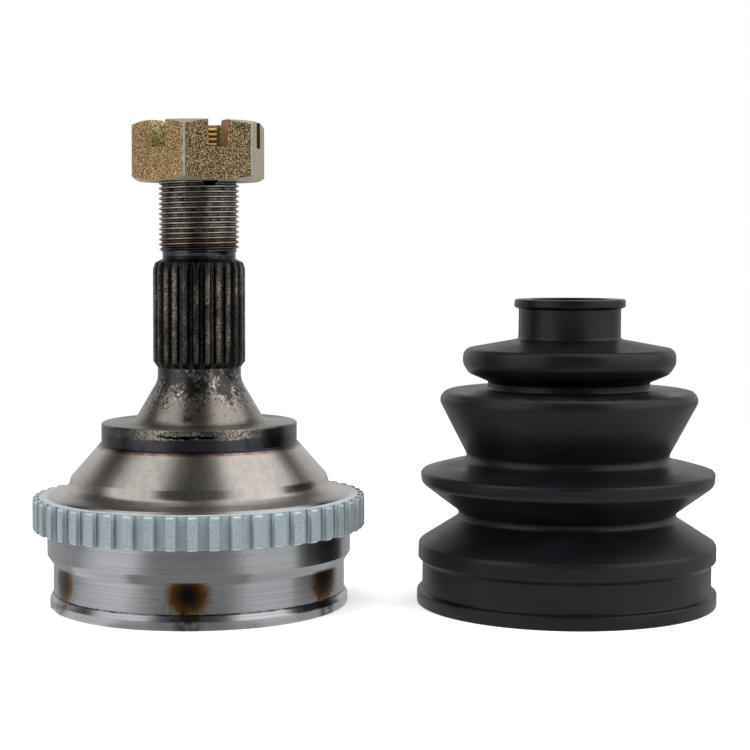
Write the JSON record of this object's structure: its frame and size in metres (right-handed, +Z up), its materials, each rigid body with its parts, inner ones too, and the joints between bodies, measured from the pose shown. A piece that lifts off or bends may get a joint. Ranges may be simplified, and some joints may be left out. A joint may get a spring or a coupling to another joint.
{
  "type": "cv joint",
  "caption": "Fixed ball joint of a driveshaft: bell with splined stub, toothed ring and castellated nut, inner race and balls in a cage, and a separate bellows boot.",
  "frame": {"origin": "centre about which the joint bends, on the axis of the stub, 22.5 mm above the mouth rim", "axes": "+Z up along the splined stub, +X from the joint to the boot, -Y the front seen in the picture"},
  "size_m": [0.2024, 0.0982, 0.1431],
  "materials": {
    "forged_steel": "turned and induction-hardened steel, satin, dark phosphate left on the stub",
    "zinc_ring": "pale blue-grey zinc plate, satin",
    "yellow_zinc": "yellow passivated zinc, iridescent and slightly rough",
    "ground_steel": "ground and lightly oiled steel",
    "bearing_balls": "polished",
    "spring_steel": "oil-blackened",
    "boot_rubber": "moulded, satin"
  },
  "bodies": {
    "outer_race": {"outer_race": "forged_steel", "abs_ring": "zinc_ring"},
    "inner_race": {"inner_race": "ground_steel", "shaft_circlip": "spring_steel"},
    "cage": {"cage": "ground_steel"},
    "hub_nut": {"hub_nut": "yellow_zinc"},
    "boot": {"boot": "boot_rubber"},
    "ball_1": {"ball_1": "bearing_balls"},
    "ball_2": {"ball_2": "bearing_balls"},
    "ball_3": {"ball_3": "bearing_balls"},
    "ball_4": {"ball_4": "bearing_balls"},
    "ball_5": {"ball_5": "bearing_balls"},
    "ball_6": {"ball_6": "bearing_balls"}
  },
  "joints": [
    {"name": "bend", "type": "hinge", "parent": "outer_race", "child": "inner_race", "pos_m": [0, 0, 0], "axis": [0.9962, -0.0872, 0], "range_deg": [-45, 45]},
    {"name": "cage_bend", "type": "hinge", "parent": "outer_race", "child": "cage", "pos_m": [0, 0, 0], "axis": [0.9962, -0.0872, 0], "range_deg": [-22.5, 22.5]},
    {"name": "nut_travel", "type": "slide", "parent": "outer_race", "child": "hub_nut", "axis": [0, 0, 1], "range_m": [-0.0195, 0.0105]},
    {"name": "boot_lift", "type": "slide", "parent": "outer_race", "child": "boot", "axis": [0, 0, 1], "range_m": [0, 0.09]},
    {"name": "ball_1_track", "type": "hinge", "parent": "outer_race", "child": "ball_1", "pos_m": [0, 0, -0.004], "axis": [0.9962, -0.0872, 0], "range_deg": [-22.51, 22.51]},
    {"name": "ball_2_track", "type": "hinge", "parent": "outer_race", "child": "ball_2", "pos_m": [0, 0, -0.004], "axis": [0.5736, 0.8192, 0], "range_deg": [-11.26, 11.26]},
    {"name": "ball_3_track", "type": "hinge", "parent": "outer_race", "child": "ball_3", "pos_m": [0, 0, -0.004], "axis": [-0.4226, 0.9063, 0], "range_deg": [-11.26, 11.26]},
    {"name": "ball_4_track", "type": "hinge", "parent": "outer_race", "child": "ball_4", "pos_m": [0, 0, -0.004], "axis": [-0.9962, 0.0872, 0], "range_deg": [-22.51, 22.51]},
    {"name": "ball_5_track", "type": "hinge", "parent": "outer_race", "child": "ball_5", "pos_m": [0, 0, -0.004], "axis": [-0.5736, -0.8192, 0], "range_deg": [-11.26, 11.26]},
    {"name": "ball_6_track", "type": "hinge", "parent": "outer_race", "child": "ball_6", "pos_m": [0, 0, -0.004], "axis": [0.4226, -0.9063, 0], "range_deg": [-11.26, 11.26]}
  ],
  "couplings": [
    {"joint": "cage_bend", "follows": "bend", "ratio": 0.5},
    {"joint": "ball_1_track", "follows": "bend", "ratio": 0.5},
    {"joint": "ball_2_track", "follows": "bend", "ratio": 0.25},
    {"joint": "ball_3_track", "follows": "bend", "ratio": -0.25},
    {"joint": "ball_4_track", "follows": "bend", "ratio": -0.5},
    {"joint": "ball_5_track", "follows": "bend", "ratio": -0.25},
    {"joint": "ball_6_track", "follows": "bend", "ratio": 0.25}
  ]
}
